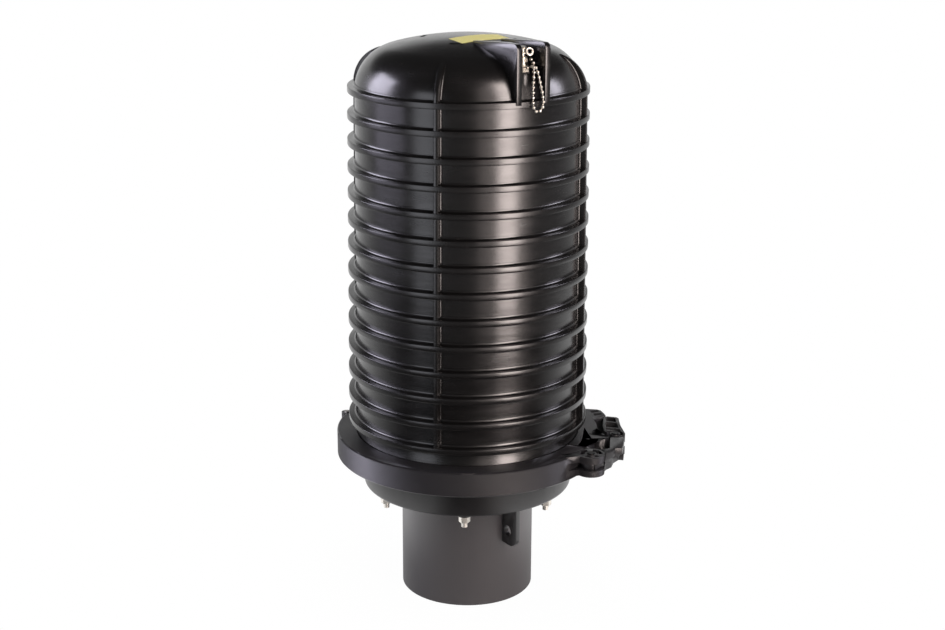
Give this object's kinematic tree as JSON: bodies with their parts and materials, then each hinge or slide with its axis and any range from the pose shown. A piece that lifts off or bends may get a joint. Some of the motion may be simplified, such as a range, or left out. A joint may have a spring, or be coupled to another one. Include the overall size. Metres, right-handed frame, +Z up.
{
  "type": "dome splice closure",
  "caption": "Upright ribbed dome cover clamped to a base and cable tube by a hinged ring with a lever latch, with a test valve and chained cap on top.",
  "frame": {"origin": "on the axis of the cable tube at its open lower end", "axes": "+Z up along the tube and dome, -Y towards the front, with the latch to the right on +X"},
  "size_m": [0.2395, 0.2176, 0.4693],
  "materials": {
    "dome_plastic": "moulded black polypropylene, semi-gloss",
    "clamp_plastic": "glass-filled nylon, matt charcoal",
    "base_plastic": "moulded black polypropylene, satin",
    "pipe_plastic": "extruded grey-black pipe, satin",
    "seal_rubber": "soft black sealing rubber",
    "gasket_rubber": "sheet rubber",
    "stainless": "stainless fasteners",
    "pin_steel": "blackened steel pins",
    "nickel": "nickel-plated brass",
    "brass": "plain brass",
    "sticker_film": "plain yellow film",
    "tray_plastic": "white ABS",
    "tray_clear": "clear polycarbonate",
    "frame_alu": "folded sheet",
    "comb_plastic": "pale blue thermoplastic",
    "strap_fabric": "woven black strap"
  },
  "bodies": {
    "closure": {"dome": "dome_plastic", "base": "base_plastic", "tube": "pipe_plastic", "tube_gasket": "gasket_rubber", "tube_bolts": "stainless", "tube_washers": "stainless", "tube_nuts": "stainless", "main_seal": "seal_rubber", "clamp_rear": "clamp_plastic", "hinge_pin": "stainless", "valve_body": "nickel", "valve_core": "brass", "valve_gasket": "gasket_rubber", "valve_washer": "stainless", "valve_nut": "nickel", "cap_ring": "nickel", "valve_ring": "nickel", "bead_chain": "nickel", "sticker": "sticker_film", "tray_frame": "frame_alu", "frame_screws": "stainless", "tray_1": "tray_plastic", "tray_2": "tray_plastic", "tray_3": "tray_plastic", "tray_4": "tray_plastic", "tray_cover": "tray_clear", "tray_pins": "stainless", "tray_strap": "strap_fabric", "splice_combs": "comb_plastic", "cable_bar": "frame_alu", "bar_screws": "stainless", "cable_clamps": "frame_alu", "clamp_screws": "stainless"},
    "front_clamp": {"clamp_front": "clamp_plastic", "link_pin": "pin_steel"},
    "link": {"latch_link": "clamp_plastic", "lever_pin": "pin_steel"},
    "lever": {"latch_lever": "clamp_plastic"},
    "cap": {"valve_cap": "nickel", "cap_seal": "gasket_rubber"}
  },
  "joints": [
    {"name": "clamp_open", "type": "hinge", "parent": "closure", "child": "front_clamp", "pos_m": [-0.10347, 0.03362, 0.129], "axis": [0, 0, -1], "range_deg": [0, 22]},
    {"name": "link_swing", "type": "hinge", "parent": "front_clamp", "child": "link", "pos_m": [0.09936, -0.06363, 0.1308], "axis": [0, 0, -1], "range_deg": [0, 110]},
    {"name": "lever_swing", "type": "hinge", "parent": "link", "child": "lever", "pos_m": [0.1223, -0.01751, 0.1308], "axis": [0, 0, -1], "range_deg": [0, 66]},
    {"name": "cap_turn", "type": "hinge", "parent": "closure", "child": "cap", "pos_m": [0.04048, -0.069, 0.455], "axis": [0, 0, 1], "range_deg": [0, 900]}
  ],
  "couplings": [
    {"joint": "link_swing", "follows": "clamp_open", "ratio": 5},
    {"joint": "lever_swing", "follows": "clamp_open", "ratio": 3}
  ]
}
